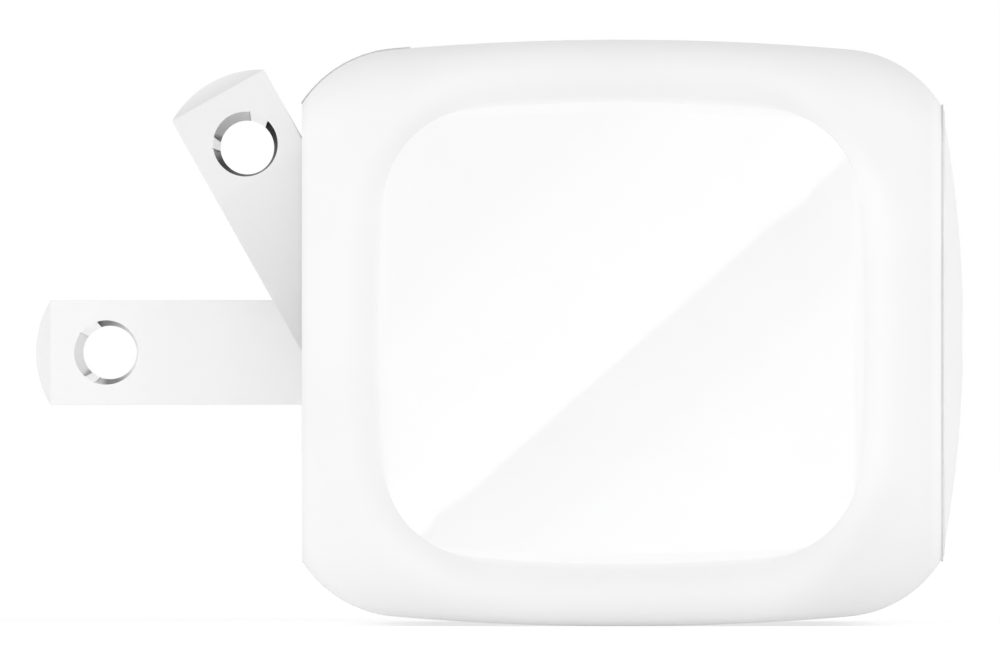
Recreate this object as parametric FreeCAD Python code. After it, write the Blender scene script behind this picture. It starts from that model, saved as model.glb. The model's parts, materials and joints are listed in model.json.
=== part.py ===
import FreeCAD, Part
import math
import os

Vector = FreeCAD.Vector

# A wall charger with two folding plug blades and a USB-C port.
# The origin is the centre of the flat back face, +X runs from the wall to the port and +Z is up.
# All sizes are in millimetres.

# Body form
body_depth = 38.35
body_width = 38.0
body_height = 35.2
crown_radius = 160.0
edge_radius = 7.2
edge_run = 6.05
long_edge_radius = 4.4
wall = 1.9

# Mouth of the housing and the front cover
mouth_lip = 1.2
mouth_corner_radius = 3.3
seam_gap = 0.12
seam_depth = 0.35
dome_rise = 1.43
dome_margin = 0.6
plug_thickness = 1.2
spigot_length = 2.6
spigot_wall = 1.1
fit_gap = 0.1
stop_height = 3.0

# Glossy side panels
panel_length = 29.2
panel_height = 27.66
panel_crown_radius = 97.0
panel_corner_radius = 5.75
panel_thickness = 0.8

# Plug blades, flat pins of a North American two-pin plug
blade_spacing = 12.7
blade_width = 6.35
blade_thickness = 1.5
blade_reach = 19.25
blade_rise = 1.02
tip_bevel_length = 0.87
tip_bevel_depth = 0.35
blade_hole_distance = 15.0
blade_hole_diameter = 3.25
blade_hole_chamfer = 0.31

# Pivot of the blades, and how far each blade is raised
pivot_x = 3.0
pivot_z = -2.2
near_blade_angle = 60.7
far_blade_angle = 0.0

# Blade hubs
hub_key = 1.6
hub_cheek_radius = 1.9
hub_cheek_width = 1.2
trunnion_radius = 1.2
trunnion_length = 1.4
trunnion_gap = 0.05
moving_gap = 0.35

# Blade recesses in the housing
recess_wall = 1.0
hub_end_wall = 0.8

# Hub bracket and its screws
bracket_thickness = 1.2
post_gap = 0.05
boss_radius = 2.1
boss_overlap = 0.5
screw_radius = 0.9
screw_depth = 4.5
screw_head_radius = 1.7
screw_head_height = 1.1
screw_slot_width = 0.4
screw_slot_depth = 0.4

# Contact springs
leaf_thickness = 0.2
leaf_width = 1.2
leaf_bend_radius = 0.4
leaf_start = 1.2
leaf_tail = 0.6
leaf_slot_gap = 0.1

# Main board
board_thickness = 1.2
board_bottom = -10.6
board_side_gap = 0.7
board_back_gap = 0.8
board_nose = 0.6
rail_width = 1.2
part_gap = 0.5
lead_radius = 0.3
lead_hole_radius = 0.4
lead_length = 0.7

# Output board and the port
output_board_thickness = 1.0
output_board_top = 11.0
output_board_inset = 0.8
output_tab_width = 4.0
port_recess = 0.5
port_clearance = 0.1
shell_length = 6.4
shell_inner_width = 8.34
shell_inner_height = 2.56
shell_sheet = 0.3
shell_leg_width = 0.9
shell_leg_length = 1.4
tongue_width = 6.69
tongue_thickness = 0.7
tongue_recess = 1.0
tongue_base_length = 1.9
contact_pitch = 0.5
contact_width = 0.25
contact_sheet = 0.06
contact_recess = 0.5
contacts_per_side = 12

# Parts near the mains end of the board
fuse_radius = 1.6
fuse_length = 8.0
fuse_cap_length = 1.6
fuse_x = 5.2
bridge_length = 4.6
bridge_width = 3.9
bridge_height = 1.5
bridge_leg = 0.6
bridge_x = 5.6
bridge_y = 9.0
filter_capacitor_thickness = 5.3
filter_capacitor_height = 11.0
choke_radius = 4.6
choke_bore_radius = 2.4
choke_thickness = 4.0
choke_wire = 0.7
choke_winding_angle = 150.0
choke_holder_height = 1.0
choke_holder_width = 8.0

# Parts near the port end of the board
capacitor_top_gap = 1.9
capacitor_bevel = 0.4
transformer_height = 14.0
core_width = 6.2
core_wall = 1.8
core_leg_radius = 2.4
bobbin_wall = 0.4
bobbin_base_height = 1.6
bobbin_flange = 0.5
winding_margin = 0.3
pin_count = 4
bridging_capacitor_thickness = 2.4
optocoupler_length = 4.6
optocoupler_gap = 1.15
optocoupler_height = 3.2
optocoupler_leg = 0.5
output_capacitor_height = 8.0

# Chips
switch_length = 6.0
switch_width = 5.0
switch_height = 0.9
rectifier_length = 5.0
rectifier_width = 6.0
rectifier_height = 1.0
chip_length = 4.0
chip_height = 0.8
chip_rise = 8.6

# Heat spreader, pad and insulating tray
spreader_sheet = 0.5
pad_thickness = 0.7
tray_sheet = 0.3
tray_depth = 1.8
tray_rail_gap = 1.1

# Values worked out from the sizes above
half_width = body_width / 2
half_height = body_height / 2
sides = (-1, 1)
blade_y = blade_spacing / 2
blade_top = blade_rise + blade_width / 2
root_radius = blade_width / 2 - blade_rise
slot_half_width = blade_thickness / 2 + moving_gap
slot_back = pivot_x + blade_top + moving_gap
slot_floor = pivot_z - root_radius - moving_gap
recess_back = slot_back + recess_wall
cheek_end = blade_thickness / 2 + hub_cheek_width
cheek_pocket = cheek_end + moving_gap
trunnion_end = cheek_end + trunnion_length
trunnion_pocket = trunnion_end + fit_gap
hub_box = trunnion_pocket + hub_end_wall
bracket_front = recess_back + bracket_thickness
boss_y = blade_y + hub_box + boss_radius - boss_overlap
board_top = board_bottom + board_thickness
leaf_leg_back = bracket_front + leaf_bend_radius + leaf_slot_gap
leaf_leg_front = leaf_leg_back + leaf_thickness
first_row_start = leaf_leg_front + 2 * part_gap
first_row_end = first_row_start + filter_capacitor_thickness

# How far a cutting solid reaches past what it cuts, and how near an edge must lie to a face to belong to it
overshoot = wall / 2
touching = fit_gap / 10


# Basic solids

def box(x0, x1, y0, y1, z0, z1):
    return Part.makeBox(x1 - x0, y1 - y0, z1 - z0, Vector(x0, y0, z0))


def rod_x(y, z, radius, x0, x1):
    return Part.makeCylinder(radius, x1 - x0, Vector(x0, y, z), Vector(1, 0, 0))


def rod_y(x, z, radius, y0, y1):
    return Part.makeCylinder(radius, y1 - y0, Vector(x, y0, z), Vector(0, 1, 0))


def rod_z(x, y, radius, z0, z1):
    return Part.makeCylinder(radius, z1 - z0, Vector(x, y, z0), Vector(0, 0, 1))


def joined(shapes):
    whole = shapes[0].multiFuse(shapes[1:]) if len(shapes) > 1 else shapes[0]
    return whole.removeSplitter()


def line(start, end):
    return Part.LineSegment(start, end).toShape()


def arc(start, middle, end):
    return Part.Arc(start, middle, end).toShape()


def prism(edges, travel):
    return Part.Face(Part.Wire(edges)).extrude(travel)


def rounded_bar(x0, x1, half_y, half_z, radius):
    bar = box(x0, x1, -half_y, half_y, -half_z, half_z)
    return bar.makeFillet(radius, [edge for edge in bar.Edges if abs(edge.tangentAt(0).x) > 0.9])


# Body form: crowned sides that turn into rounded edges at the front and back

def side_offset(half, inset, x):
    reach = body_depth / 2 - edge_run
    centre = half - crown_radius + math.sqrt((crown_radius - edge_radius) ** 2 - reach ** 2)
    run = abs(x - body_depth / 2) - reach
    return centre + math.sqrt((edge_radius - inset) ** 2 - run ** 2)


def side_arcs(half, inset, start, end):
    middle = body_depth / 2
    reach = middle - edge_run
    drop = math.sqrt((crown_radius - edge_radius) ** 2 - reach ** 2)
    centre = half - crown_radius + drop
    share = (crown_radius - inset) / (crown_radius - edge_radius)
    shoulder = Vector(reach * share, 0, half - crown_radius + drop * share)
    tangent = math.atan2(drop, reach)
    radius = edge_radius - inset
    points = []
    for sign, x in ((-1, start), (1, end)):
        tip = Vector(x, 0, side_offset(half, inset, x))
        turn = math.atan2(tip.z - centre, abs(x - middle) - reach)
        bend = (turn + tangent) / 2
        corner_reach = reach + radius * math.cos(bend)
        corner = Vector(middle + sign * corner_reach, 0, centre + radius * math.sin(bend))
        points.append((tip, corner, Vector(middle + sign * shoulder.x, 0, shoulder.z)))
    crown = Vector(middle, 0, half - inset)
    back, front = points
    return [arc(back[0], back[1], back[2]), arc(back[2], crown, front[2]), arc(front[2], front[1], front[0])]


def crowned_slab(half, inset, start, end, depth):
    upper = side_arcs(half, inset, start, end)
    lower = [edge.mirror(Vector(0, 0, 0), Vector(0, 0, 1)) for edge in upper]
    z_back = side_offset(half, inset, start)
    z_front = side_offset(half, inset, end)
    back = line(Vector(start, 0, -z_back), Vector(start, 0, z_back))
    front = line(Vector(end, 0, -z_front), Vector(end, 0, z_front))
    slab = Part.Face(Part.Wire(Part.sortEdges(upper + lower + [back, front])[0]))
    slab.translate(Vector(0, -depth / 2, 0))
    return slab.extrude(Vector(0, depth, 0))


def body_form(inset, start, end):
    profile = crowned_slab(half_height, inset, start, end, 2 * body_width)
    plan = crowned_slab(half_width, inset, start, end, 2 * body_height)
    plan.rotate(Vector(0, 0, 0), Vector(1, 0, 0), 90)
    form = profile.common(plan)
    long_edges = []
    for edge in form.Edges:
        middle = edge.CenterOfMass
        along = abs(edge.tangentAt(edge.FirstParameter).x) > 0.2
        if along and start + touching < middle.x < end - touching:
            long_edges.append(edge)
    return form.makeFillet(long_edge_radius - inset, long_edges)


# Places that follow from the housing's mouth and from the port

mouth_half_width = side_offset(half_width, 0, body_depth) - mouth_lip
mouth_half_height = side_offset(half_height, 0, body_depth) - mouth_lip
cover_back = body_depth + seam_gap
cover_crest = cover_back + dome_rise
port_mouth = cover_crest - port_recess
output_board_front = port_mouth - shell_length
output_board_back = output_board_front - output_board_thickness
board_back = wall + board_back_gap
board_front = output_board_front + board_nose
board_half_width = mouth_half_width - board_side_gap
near_edge = -board_half_width + spreader_sheet + fit_gap
far_edge = board_half_width - part_gap
near_lane_end = -part_gap / 2
second_row_start = first_row_end + part_gap
second_row_end = output_board_back - part_gap
second_row_x = (second_row_start + second_row_end) / 2
transformer_y = (near_edge + near_lane_end) / 2
capacitor_radius = (second_row_end - second_row_start - part_gap) / 4
middle_lane_end = far_edge - 2 * capacitor_radius
middle_lane_y = (near_lane_end + middle_lane_end) / 2
lane_radius = (middle_lane_end - near_lane_end - part_gap) / 2
lane_room = second_row_end - second_row_start - optocoupler_length - optocoupler_gap
output_capacitor_radius = min(lane_radius, (lane_room - bridging_capacitor_thickness - part_gap) / 2)
bridging_capacitor_front = second_row_end - 2 * output_capacitor_radius - part_gap
bridging_capacitor_x = bridging_capacitor_front - bridging_capacitor_thickness / 2
parts_top = mouth_half_height - capacitor_top_gap
first_row_x = (first_row_start + first_row_end) / 2
filter_capacitor_y = (near_edge + near_lane_end) / 2
choke_y = (near_lane_end + far_edge) / 2


# Housing

def arc_height(distance, half, radius=panel_crown_radius):
    return half - panel_crown_radius + math.sqrt(radius ** 2 - distance ** 2)


def panel_outline():
    half_x = panel_length / 2
    half_z = panel_height / 2
    inner = panel_crown_radius - panel_corner_radius
    centre = Vector(half_x - panel_corner_radius, 0, half_z - panel_corner_radius)
    corner_steps = 12
    for step in range(corner_steps):
        centre.x = arc_height(centre.z, half_x, inner)
        centre.z = arc_height(centre.x, half_z, inner)
    top_centre = Vector(0, 0, half_z - panel_crown_radius)
    side_centre = Vector(half_x - panel_crown_radius, 0, 0)
    share = panel_crown_radius / inner
    top = top_centre + (centre - top_centre) * share
    side = side_centre + (centre - side_centre) * share
    chord = (top + side) / 2 - centre
    bend = centre + chord.normalize() * panel_corner_radius
    quarter = [
        arc(Vector(0, 0, half_z), Vector(top.x / 2, 0, arc_height(top.x / 2, half_z)), top),
        arc(top, bend, side),
        arc(side, Vector(arc_height(side.z / 2, half_x), 0, side.z / 2), Vector(half_x, 0, 0)),
    ]
    upper = quarter + [edge.mirror(Vector(0, 0, 0), Vector(1, 0, 0)) for edge in quarter]
    lower = [edge.mirror(Vector(0, 0, 0), Vector(0, 0, 1)) for edge in upper]
    return Part.Wire(Part.sortEdges(upper + lower)[0])


def side_panel(side):
    outline = Part.Face(panel_outline())
    outline.translate(Vector(body_depth / 2, side * half_width / 2, 0))
    block = outline.extrude(Vector(0, side * half_width, 0))
    skin = block.common(body_form(0, 0, body_depth))
    return skin.cut(body_form(panel_thickness, panel_thickness, body_depth - panel_thickness))


def blade_slot(y):
    radius = blade_reach + moving_gap
    top = pivot_z + math.sqrt(radius ** 2 - (slot_back - pivot_x) ** 2)
    outside = -overshoot
    left = pivot_z + math.sqrt(radius ** 2 - (outside - pivot_x) ** 2)
    edges = [
        line(Vector(outside, 0, slot_floor), Vector(slot_back, 0, slot_floor)),
        line(Vector(slot_back, 0, slot_floor), Vector(slot_back, 0, top)),
        arc(Vector(slot_back, 0, top), Vector(pivot_x, 0, pivot_z + radius), Vector(outside, 0, left)),
        line(Vector(outside, 0, left), Vector(outside, 0, slot_floor)),
    ]
    slot = prism(edges, Vector(0, 2 * slot_half_width, 0))
    slot.translate(Vector(0, y - slot_half_width, 0))
    return slot


def recess_block(y):
    channel = box(
        wall / 2, recess_back, y - slot_half_width - recess_wall, y + slot_half_width + recess_wall,
        slot_floor - recess_wall, half_height
    )
    hub_top = pivot_z + blade_top + moving_gap + recess_wall
    hub = box(wall / 2, recess_back, y - hub_box, y + hub_box, slot_floor - recess_wall, hub_top)
    return [channel, hub]


def hub_pocket(y):
    far = recess_back + overshoot
    pocket_radius = hub_cheek_radius + moving_gap
    seat_radius = trunnion_radius + trunnion_gap
    cuts = [
        box(
            pivot_x, far, y - slot_half_width, y + slot_half_width,
            slot_floor, pivot_z + blade_top + moving_gap
        )
    ]
    for reach, radius in ((cheek_pocket, pocket_radius), (trunnion_pocket, seat_radius)):
        cuts.append(rod_y(pivot_x, pivot_z, radius, y - reach, y + reach))
        cuts.append(box(pivot_x, far, y - reach, y + reach, pivot_z - radius, pivot_z + radius))
    return cuts


def housing():
    shoulder_share = 0.8
    cavity_end = body_depth - edge_run + shoulder_share * (edge_radius - wall)
    cavity = body_form(wall, wall, cavity_end)
    core = body_form(wall / 2, wall / 2, cavity_end)
    mouth = rounded_bar(
        body_depth - edge_run, body_depth + overshoot,
        mouth_half_width, mouth_half_height, mouth_corner_radius
    )
    shell = body_form(0, 0, body_depth).cut(cavity).cut(mouth)
    inside = []
    for side in sides:
        inside += recess_block(side * blade_y)
        inside.append(rod_x(side * boss_y, pivot_z, boss_radius, wall / 2, recess_back))
        rail_outer = side * board_half_width
        rail_inner = rail_outer - side * rail_width
        inside.append(
            box(
                wall / 2, board_front, min(rail_outer, rail_inner), max(rail_outer, rail_inner),
                -half_height, board_bottom
            )
        )
    shell = joined([shell] + [block.common(core) for block in inside])
    for side in sides:
        shell = shell.cut(blade_slot(side * blade_y)).cut(joined(hub_pocket(side * blade_y)))
        shell = shell.cut(rod_x(side * boss_y, pivot_z, screw_radius, recess_back - screw_depth, recess_back))
        shell = shell.cut(side_panel(side))
    return shell.removeSplitter()


# Front cover

def dome_patch():
    patch = Part.BezierSurface()
    patch.increase(2, 2)
    reach_y = side_offset(half_width, 0, body_depth) + dome_margin
    reach_z = side_offset(half_height, 0, body_depth) + dome_margin
    for row, y in enumerate((-reach_y, 0, reach_y)):
        for column, z in enumerate((-reach_z, 0, reach_z)):
            rise = 4 * dome_rise if row == 1 and column == 1 else 0
            patch.setPole(row + 1, column + 1, Vector(cover_back + rise, y, z))
    return patch.toShape()


def port_opening(x0, x1, margin):
    half_y = shell_inner_width / 2 + shell_sheet + margin
    half_z = shell_inner_height / 2 + shell_sheet + margin
    return stadium(x0, x1, half_y, half_z)


def stadium(x0, x1, half_y, half_z):
    straight = half_y - half_z
    middle = box(x0, x1, -straight, straight, -half_z, half_z)
    return joined([middle, rod_x(-straight, 0, half_z, x0, x1), rod_x(straight, 0, half_z, x0, x1)])


def front_cover():
    body = body_form(0, 0, body_depth)
    end_face = [face for face in body.Faces if face.BoundBox.XMin > body_depth - touching][0]
    rim = end_face.copy()
    rim.translate(Vector(seam_gap, 0, 0))
    cap = rim.extrude(Vector(2 * dome_rise, 0, 0)).common(dome_patch().extrude(Vector(-2 * dome_rise, 0, 0)))
    seat = rounded_bar(
        body_depth, cover_back + seam_gap, mouth_half_width + mouth_lip - seam_depth,
        mouth_half_height + mouth_lip - seam_depth, mouth_corner_radius
    )
    plug_y = mouth_half_width - fit_gap
    plug_z = mouth_half_height - fit_gap
    plug = rounded_bar(body_depth - spigot_length, cover_back + seam_gap, plug_y, plug_z, mouth_corner_radius)
    hollow = rounded_bar(
        body_depth - spigot_length - overshoot, body_depth - plug_thickness,
        plug_y - spigot_wall, plug_z - spigot_wall, mouth_corner_radius - spigot_wall
    )
    column = end_face.extrude(Vector(2 * dome_rise, 0, 0))
    cover = joined([cap, seat.common(column), plug.cut(hollow)] + board_stops(plug_y, plug_z))
    cover = cover.cut(port_opening(body_depth - spigot_length, cover_crest + overshoot, port_clearance))
    return cover.removeSplitter()


def board_stops(plug_y, plug_z):
    start = board_front + fit_gap
    end = body_depth - plug_thickness
    middle = board_bottom + board_thickness / 2
    column = rounded_bar(start, end, plug_y, plug_z, mouth_corner_radius)
    stops = []
    for side in sides:
        inner, outer = sorted((side * (plug_y - spigot_wall), side * plug_y))
        stop = box(start, end, inner, outer, middle - stop_height / 2, middle + stop_height / 2)
        stops.append(stop.common(column))
    return stops


# Blades and hubs, built extended about the pivot and then raised

def raised(shape, side, angle):
    placed = shape.copy()
    placed.rotate(Vector(0, 0, 0), Vector(0, 1, 0), angle)
    placed.translate(Vector(pivot_x, side * blade_y, pivot_z))
    return placed


def blade():
    half = blade_thickness / 2
    bottom = blade_top - blade_width
    chord = blade_reach - tip_bevel_length
    lean = math.acos(root_radius / blade_top)
    tangent = Vector(root_radius * math.sin(lean), 0, root_radius * math.cos(lean))
    belly_angle = (lean + math.pi) / 2
    belly = Vector(root_radius * math.sin(belly_angle), 0, root_radius * math.cos(belly_angle))
    edges = [
        line(Vector(-chord, 0, blade_top), Vector(0, 0, blade_top)),
        line(Vector(0, 0, blade_top), tangent),
        arc(tangent, belly, Vector(0, 0, bottom)),
        line(Vector(0, 0, bottom), Vector(-chord, 0, bottom)),
        arc(Vector(-chord, 0, bottom), Vector(-blade_reach, 0, blade_rise), Vector(-chord, 0, blade_top)),
    ]
    plate = prism(edges, Vector(0, blade_thickness, 0))
    plate.translate(Vector(0, -half, 0))
    for side in sides:
        plate = plate.cut(tip_bevel(side, half, chord))
    plate = plate.cut(rod_y(-blade_hole_distance, blade_rise, blade_hole_diameter / 2, -half, half))
    for side in sides:
        plate = plate.cut(hole_chamfer(side, half))
    key = hub_key / 2
    return plate.cut(box(-key, key, -half, half, -key, key))


def tip_bevel(side, half, chord):
    past = blade_reach + overshoot
    slope = tip_bevel_depth / tip_bevel_length
    low = blade_top - blade_width - overshoot
    corners = [
        Vector(-chord, side * half, low),
        Vector(-past, side * (half - slope * (past - chord)), low),
        Vector(-past, side * (half + overshoot), low),
        Vector(-chord, side * (half + overshoot), low),
    ]
    edges = [line(corners[index - 1], corners[index]) for index in range(4)]
    return prism(edges, Vector(0, 0, blade_width + 2 * overshoot))


def hole_chamfer(side, half):
    radius = blade_hole_diameter / 2
    mouth = Vector(-blade_hole_distance, side * half, blade_rise)
    return Part.makeCone(radius + blade_hole_chamfer, radius, blade_hole_chamfer, mouth, Vector(0, -side, 0))


def blade_hub():
    half = blade_thickness / 2
    key = hub_key / 2
    pieces = [box(-key, key, -half, half, -key, key)]
    for side in sides:
        inner, outer = sorted((side * half, side * cheek_end))
        pieces.append(rod_y(0, 0, hub_cheek_radius, inner, outer))
        inner, outer = sorted((side * cheek_end, side * trunnion_end))
        pieces.append(rod_y(0, 0, trunnion_radius, inner, outer))
    return joined(pieces)


# Hub bracket, screws and contact springs

def hub_bracket():
    low = slot_floor - recess_wall
    high = pivot_z + blade_top + moving_gap + recess_wall
    reach = boss_y + boss_radius
    pieces = [box(recess_back, bracket_front, -reach, reach, low, high)]
    half_post = trunnion_radius + trunnion_gap - post_gap
    for side in sides:
        for inner, outer in ((-trunnion_pocket, -cheek_pocket), (cheek_pocket, trunnion_pocket)):
            y = side * blade_y
            pieces.append(
                box(
                    pivot_x, recess_back, y + inner + post_gap, y + outer - post_gap,
                    pivot_z - half_post, pivot_z + half_post
                )
            )
    bracket = joined(pieces)
    for side in sides:
        y = side * blade_y
        seat = rod_y(pivot_x, pivot_z, trunnion_radius + trunnion_gap, y - hub_box, y + hub_box)
        notch_half = leaf_width / 2 + leaf_slot_gap
        notch_top = slot_floor + leaf_thickness + leaf_slot_gap
        notch = box(recess_back, bracket_front, y - notch_half, y + notch_half, low, notch_top)
        screw_hole = rod_x(side * boss_y, pivot_z, screw_radius + fit_gap, recess_back, bracket_front)
        bracket = bracket.cut(seat).cut(notch).cut(screw_hole)
    return bracket


def bracket_screws():
    screws = []
    for side in sides:
        y = side * boss_y
        head_top = bracket_front + screw_head_height
        shank = rod_x(y, pivot_z, screw_radius, recess_back - screw_depth + fit_gap, bracket_front)
        head = rod_x(y, pivot_z, screw_head_radius, bracket_front, head_top)
        half_slot = screw_slot_width / 2
        slot = box(
            head_top - screw_slot_depth, head_top, y - screw_head_radius, y + screw_head_radius,
            pivot_z - half_slot, pivot_z + half_slot
        )
        screws.append(joined([shank, head]).cut(slot))
    return Part.makeCompound(screws)


def contact_spring(side):
    y = side * blade_y
    top = slot_floor + leaf_thickness
    outer = leaf_bend_radius + leaf_thickness
    bend_x = leaf_leg_front - outer
    bend_z = top - outer
    turn = math.sqrt(0.5)
    foot = board_bottom - leaf_tail
    edges = [
        line(Vector(leaf_start, 0, slot_floor), Vector(leaf_start, 0, top)),
        line(Vector(leaf_start, 0, top), Vector(bend_x, 0, top)),
        arc(
            Vector(bend_x, 0, top), Vector(bend_x + outer * turn, 0, bend_z + outer * turn),
            Vector(leaf_leg_front, 0, bend_z)
        ),
        line(Vector(leaf_leg_front, 0, bend_z), Vector(leaf_leg_front, 0, foot)),
        line(Vector(leaf_leg_front, 0, foot), Vector(leaf_leg_back, 0, foot)),
        line(Vector(leaf_leg_back, 0, foot), Vector(leaf_leg_back, 0, bend_z)),
        arc(
            Vector(leaf_leg_back, 0, bend_z),
            Vector(bend_x + leaf_bend_radius * turn, 0, bend_z + leaf_bend_radius * turn),
            Vector(bend_x, 0, slot_floor)
        ),
        line(Vector(bend_x, 0, slot_floor), Vector(leaf_start, 0, slot_floor)),
    ]
    leaf = prism(edges, Vector(0, leaf_width, 0))
    leaf.translate(Vector(0, y - leaf_width / 2, 0))
    return leaf


# Parts that stand on the main board: each has a body above the board and leads through it

def leads(places, top):
    return [rod_z(x, y, lead_radius, board_bottom - lead_length, top) for x, y in places]


def filter_capacitor_leads():
    pitch_share = 0.28
    pitch = pitch_share * (near_lane_end - near_edge)
    return [(first_row_x, filter_capacitor_y - pitch), (first_row_x, filter_capacitor_y + pitch)]


def filter_capacitor():
    body = box(
        first_row_start, first_row_end, near_edge, near_lane_end,
        board_top, board_top + filter_capacitor_height
    )
    return joined([rounded_corners(body)] + leads(filter_capacitor_leads(), board_top + lead_length))


def rounded_corners(body):
    lowest = body.BoundBox.ZMin + touching
    edges = [edge for edge in body.Edges if edge.CenterOfMass.z > lowest]
    return body.makeFillet(capacitor_bevel, edges)


def bulk_capacitor_place(row):
    return second_row_x + row * (capacitor_radius + part_gap / 2), far_edge - capacitor_radius


def bulk_capacitor_leads(row):
    x, y = bulk_capacitor_place(row)
    pitch = capacitor_radius / 2
    return [(x - pitch, y), (x + pitch, y)]


def can(x, y, radius, top):
    body = rod_z(x, y, radius, board_top, top)
    rim = [edge for edge in body.Edges if edge.CenterOfMass.z > top - touching]
    groove_z = board_top + 3 * capacitor_bevel
    ring = Part.makeTorus(radius + capacitor_bevel / 2, capacitor_bevel, Vector(x, y, groove_z))
    return body.makeFillet(capacitor_bevel, rim).cut(ring)


def bulk_capacitor(row):
    x, y = bulk_capacitor_place(row)
    body = can(x, y, capacitor_radius, parts_top)
    return joined([body] + leads(bulk_capacitor_leads(row), board_top + lead_length))


def output_capacitor_leads():
    x = second_row_end - output_capacitor_radius
    pitch = output_capacitor_radius / 2
    return [(x - pitch, middle_lane_y), (x + pitch, middle_lane_y)]


def output_capacitor():
    x = second_row_end - output_capacitor_radius
    body = can(x, middle_lane_y, output_capacitor_radius, board_top + output_capacitor_height)
    return joined([body] + leads(output_capacitor_leads(), board_top + lead_length))


def bridging_capacitor_leads():
    pitch = lane_radius / 2
    x = bridging_capacitor_x
    return [(x, middle_lane_y - pitch), (x, middle_lane_y + pitch)]


def bridging_capacitor():
    half = bridging_capacitor_thickness / 2
    z = board_top + lane_radius
    disc = rod_x(middle_lane_y, z, lane_radius, bridging_capacitor_x - half, bridging_capacitor_front)
    rims = [edge for edge in disc.Edges if edge.Length > lane_radius * 3]
    disc = disc.makeFillet(capacitor_bevel, rims)
    return joined([disc] + leads(bridging_capacitor_leads(), z))


def optocoupler():
    x1 = bridging_capacitor_front - bridging_capacitor_thickness - optocoupler_gap
    x0 = x1 - optocoupler_length
    y0 = near_lane_end + part_gap / 2 + optocoupler_leg
    y1 = middle_lane_end - part_gap / 2 - optocoupler_leg
    return legged_chip(x0, x1, y0, y1, optocoupler_leg, optocoupler_height)


def legged_chip(x0, x1, y0, y1, leg, height):
    pieces = [box(x0, x1, y0, y1, board_top + leg / 2, board_top + height)]
    for x in (x0 + leg, x1 - 2 * leg):
        for y in (y0 - leg, y1):
            pieces.append(box(x, x + leg, y, y + leg, board_top, board_top + height / 2))
    return joined(pieces)


def fuse():
    half = fuse_length / 2
    tube = rod_y(fuse_x, board_top + fuse_radius, fuse_radius - lead_radius / 2, -half, half)
    caps = []
    for side in sides:
        inner, outer = sorted((side * (half - fuse_cap_length), side * half))
        caps.append(rod_y(fuse_x, board_top + fuse_radius, fuse_radius, inner, outer))
    return joined([tube] + caps + leads(fuse_leads(), board_top + fuse_radius))


def fuse_leads():
    reach = fuse_length / 2 - fuse_cap_length / 2
    return [(fuse_x, -reach), (fuse_x, reach)]


def bridge_rectifier():
    x0 = bridge_x - bridge_length / 2
    y0 = bridge_y - bridge_width / 2
    return legged_chip(x0, x0 + bridge_length, y0, y0 + bridge_width, bridge_leg, bridge_height)


# Mains filter choke: a ring core on edge in a holder, with two windings

choke_z = board_top + choke_holder_height + choke_radius + choke_wire


def ring_x(outer, inner, half):
    return rod_x(choke_y, choke_z, outer, first_row_x - half, first_row_x + half).cut(
        rod_x(choke_y, choke_z, inner, first_row_x - half, first_row_x + half)
    )


def choke_core():
    return ring_x(choke_radius, choke_bore_radius, choke_thickness / 2)


def choke_winding():
    half = choke_thickness / 2 + choke_wire
    cover = ring_x(choke_radius + choke_wire, choke_bore_radius - choke_wire, half).cut(choke_core())
    free = (180 - choke_winding_angle) / 2
    windings = []
    for start in (free, free + 180):
        sector = Part.makeCylinder(
            choke_radius + 2 * choke_wire, 2 * half, Vector(0, 0, -half), Vector(0, 0, 1), choke_winding_angle
        )
        sector.rotate(Vector(0, 0, 0), Vector(0, 0, 1), start)
        sector.rotate(Vector(0, 0, 0), Vector(0, 1, 0), 90)
        sector.translate(Vector(first_row_x, choke_y, choke_z))
        windings.append(cover.common(sector))
    return Part.makeCompound(windings)


def choke_holder_leads():
    pitch = choke_holder_width / 2 - 2 * lead_radius
    return [(first_row_x, choke_y - pitch), (first_row_x, choke_y + pitch)]


def choke_holder():
    half = choke_thickness / 2 + choke_wire
    cradle_share = 0.7
    cradle_top = choke_z - choke_radius * cradle_share
    block = box(
        first_row_x - half, first_row_x + half, choke_y - choke_holder_width / 2,
        choke_y + choke_holder_width / 2, board_top, cradle_top
    )
    bed = rod_x(choke_y, choke_z, choke_radius + choke_wire, first_row_x - half, first_row_x + half)
    return joined([block.cut(bed)] + leads(choke_holder_leads(), board_top + lead_length))


# Transformer: bobbin with a base, a winding, and a core that goes round both

core_bottom = board_top + bobbin_base_height
core_top = board_top + transformer_height
core_half_length = (second_row_end - second_row_start) / 2
window_half = core_half_length - core_wall
bobbin_radius = min(window_half, (near_lane_end - near_edge) / 2) - fit_gap
bobbin_bore = core_leg_radius + trunnion_gap


def transformer_core():
    x = second_row_x
    half_width_y = core_width / 2
    frame = box(
        x - core_half_length, x + core_half_length, transformer_y - half_width_y,
        transformer_y + half_width_y, core_bottom, core_top
    )
    window = box(
        x - window_half, x + window_half, transformer_y - half_width_y, transformer_y + half_width_y,
        core_bottom + core_wall, core_top - core_wall
    )
    return joined([frame.cut(window), rod_z(x, transformer_y, core_leg_radius, core_bottom, core_top)])


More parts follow.
